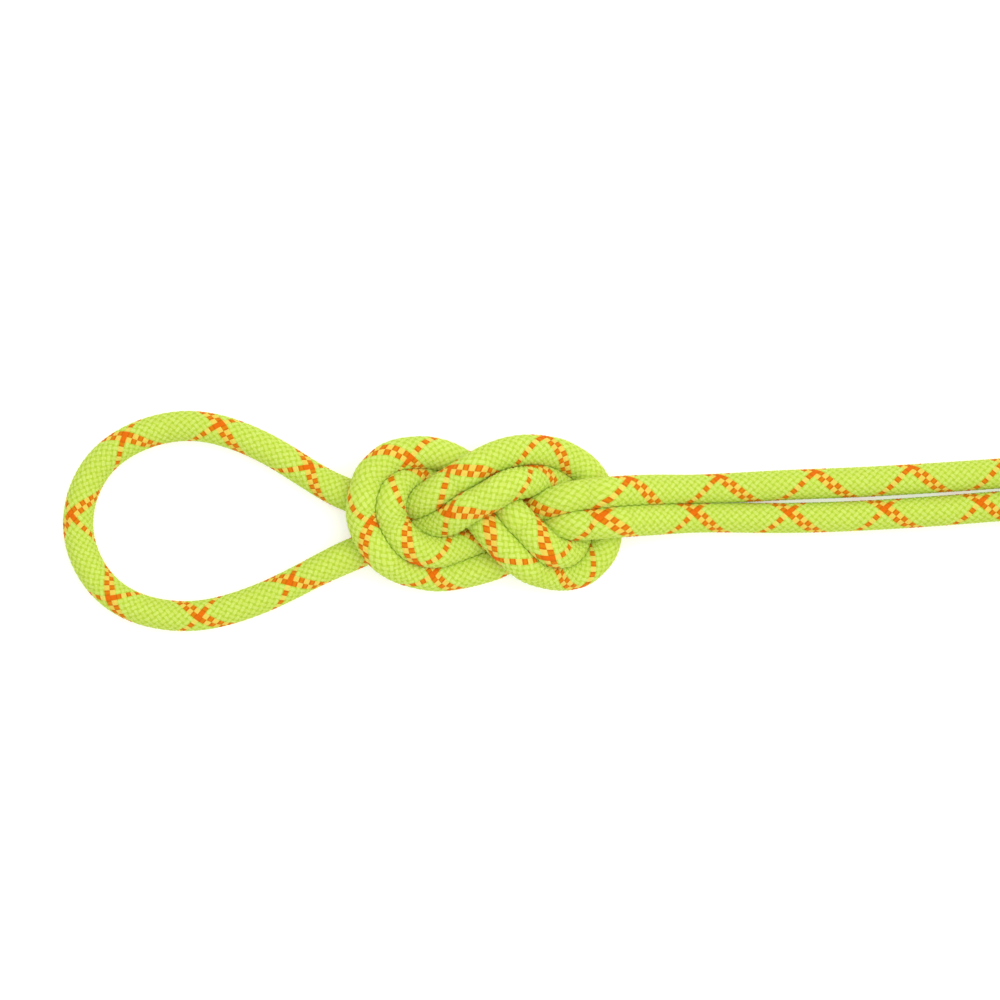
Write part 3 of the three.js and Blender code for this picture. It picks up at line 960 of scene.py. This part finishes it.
def noise_bump(tree, shader, scale, distance):
    """Fine unevenness of a surface, the same all over the piece."""
    place = tree.nodes.new("ShaderNodeTexCoord")
    noise = tree.nodes.new("ShaderNodeTexNoise")
    noise.inputs["Scale"].default_value = scale
    noise.inputs["Detail"].default_value = 3.0
    bump = tree.nodes.new("ShaderNodeBump")
    bump.inputs["Strength"].default_value = 0.5
    bump.inputs["Distance"].default_value = distance
    tree.links.new(place.outputs["Object"], noise.inputs["Vector"])
    tree.links.new(noise.outputs[0], bump.inputs["Height"])
    tree.links.new(bump.outputs[0], shader.inputs["Normal"])


def bumpy_material(name, colour, roughness, scale, distance, sheen=0.0):
    material, tree, shader = node_material(name, colour, roughness, sheen)
    noise_bump(tree, shader, scale, distance)
    return material


def make_floor():
    mesh = bpy.data.meshes.new("floor")
    half = FLOOR_HALF
    corners = [(-half, -half, 0), (half, -half, 0), (half, half, 0), (-half, half, 0)]
    mesh.from_pydata(corners, [], [(0, 1, 2, 3)])
    floor = bpy.data.objects.new("floor", mesh)
    bpy.context.scene.collection.objects.link(floor)
    material, _, shader = node_material("floor", FLOOR_COLOUR, 0.9)
    shader.inputs["Specular IOR Level"].default_value = 0.1
    shader.inputs["Emission Color"].default_value = (1, 1, 1, 1)
    shader.inputs["Emission Strength"].default_value = FLOOR_GLOW
    mesh.materials.append(material)


def make_lights():
    world = bpy.data.worlds.new("studio")
    bpy.context.scene.world = world
    world.use_nodes = True
    background = world.node_tree.nodes["Background"]
    background.inputs["Color"].default_value = (1, 1, 1, 1)
    background.inputs["Strength"].default_value = WORLD_LIGHT
    data = bpy.data.lights.new("softbox", "AREA")
    data.size = SOFTBOX_SIZE
    data.energy = SOFTBOX_WATTS
    light = bpy.data.objects.new("softbox", data)
    light.location = KNOT + SOFTBOX_PLACE
    light.rotation_euler = (KNOT - light.location).to_track_quat("-Z", "Y").to_euler()
    bpy.context.scene.collection.objects.link(light)


# ---- The model ----


def declare(piece, slot, *nodes):
    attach(piece, "root")
    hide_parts(*nodes)


def make_ropes():
    """The free stretch and the wound one, as they lie, in one braid."""
    lying = settle(evenly(centripetal(ROUTE), LINK)) + np.array(KNOT)
    free_line, first = in_rings(smooth_line(lying))
    wound, shown = hank_line()
    cells = int(distances(wound)[-1] / CELL)
    wound, shown = spaced(wound, shown, cells)
    free, last_side, last_turn = make_free_rope(free_line, first, rope_materials("free", False))
    side, other = frames(wound, last_side)
    start = (first + len(free_line) - 1) // FINE
    twist = np.full(len(wound), last_turn)
    hank = make_hank_rope(wound, shown, start, side, other, twist, rope_materials("wound", True))
    declare(free, "sheath", "sheath")
    declare(hank, "sheath", "rope_hank", "rope_end")
    return free, free_line, hank, wound


def make_ends(free_line, wound):
    """The sleeve and the tip of both rope ends: the free stretch's, and the hank's."""
    sleeve = bumpy_material("sleeve", BLACK, 0.36, 900, 0.00006)
    melted = bumpy_material("melted_tip", MELTED, 0.22, 500, 0.0002)
    pieces = []
    for prefix, place, facing in (
        ("tail", free_line[0], free_line[0] - free_line[FINE * 4]),
        ("hank_end", wound[-1], wound[-1] - wound[-4]),
    ):
        pieces.append(make_sleeve(f"{prefix}_shrunk_sleeve", place, facing, sleeve))
        declare(pieces[-1], "sleeve", f"{prefix}_sleeve")
        pieces.append(make_tip(f"{prefix}_melted_tip", place, facing, melted))
        declare(pieces[-1], "tip", f"{prefix}_tip")
    return pieces[:2], pieces[2:]


def web_materials(name, colours):
    return [
        bumpy_material(f"{name}_{i + 1}", colour, 0.75, 2500, 0.0001, sheen=0.3)
        for i, colour in enumerate(colours)
    ]


def make_straps():
    webbing, dark = web_materials("webbing", WEBBING), web_materials("tab_webbing", TAB_WEBBING)
    thread = bumpy_material("thread", THREAD, 0.6, 3000, 0.0001, sheen=0.2)
    pieces = []
    for i, place in enumerate(STRAP_PLACES):
        x = (HANK_LOW.x + HANK_HIGH.x) / 2 + place
        pieces.append(make_strap(f"webbing_strap_{i + 1}", x, webbing))
        declare(pieces[-1], "strap", f"strap_{i + 1}")
        pieces.append(make_tab(f"webbing_tab_{i + 1}", f"strap_{i + 1}_tab", [*dark, thread]))
        declare(pieces[-1], "strap_tab", f"strap_{i + 1}_tab")
    return pieces


def make_core(line):
    """The core strands and the marker tape, along the free stretch's line inside the sheath."""
    strand = bumpy_material("core_yarn", CORE, 0.7, 1200, 0.0004, sheen=0.2)
    tape = bumpy_material("marker_film", TAPE, 0.4, 800, 0.0001)
    inner = line[::CORE_STEP]
    pieces = [make_inside("core_yarn_1", inner, round_outline(0, 0), strand)]
    for i in range(OUTER_STRANDS):
        angle = 2 * math.pi * i / OUTER_STRANDS
        outline = round_outline(STRAND_RING * math.cos(angle), STRAND_RING * math.sin(angle))
        pieces.append(make_inside(f"core_yarn_{i + 2}", inner, outline, strand))
    for i, piece in enumerate(pieces):
        declare(piece, "core", f"core_strand_{i + 1}")
    marker = make_inside("marker_film", inner, tape_outline(), tape)
    declare(marker, "marker_tape", "marker_tape")
    return [*pieces, marker]


make_camera()
free, free_line, hank, wound = make_ropes()
tail_pieces, end_pieces = make_ends(free_line, wound)
straps = make_straps()
inside = make_core(free_line)
make_floor()
make_lights()
bpy.context.scene.view_settings.view_transform = "Standard"
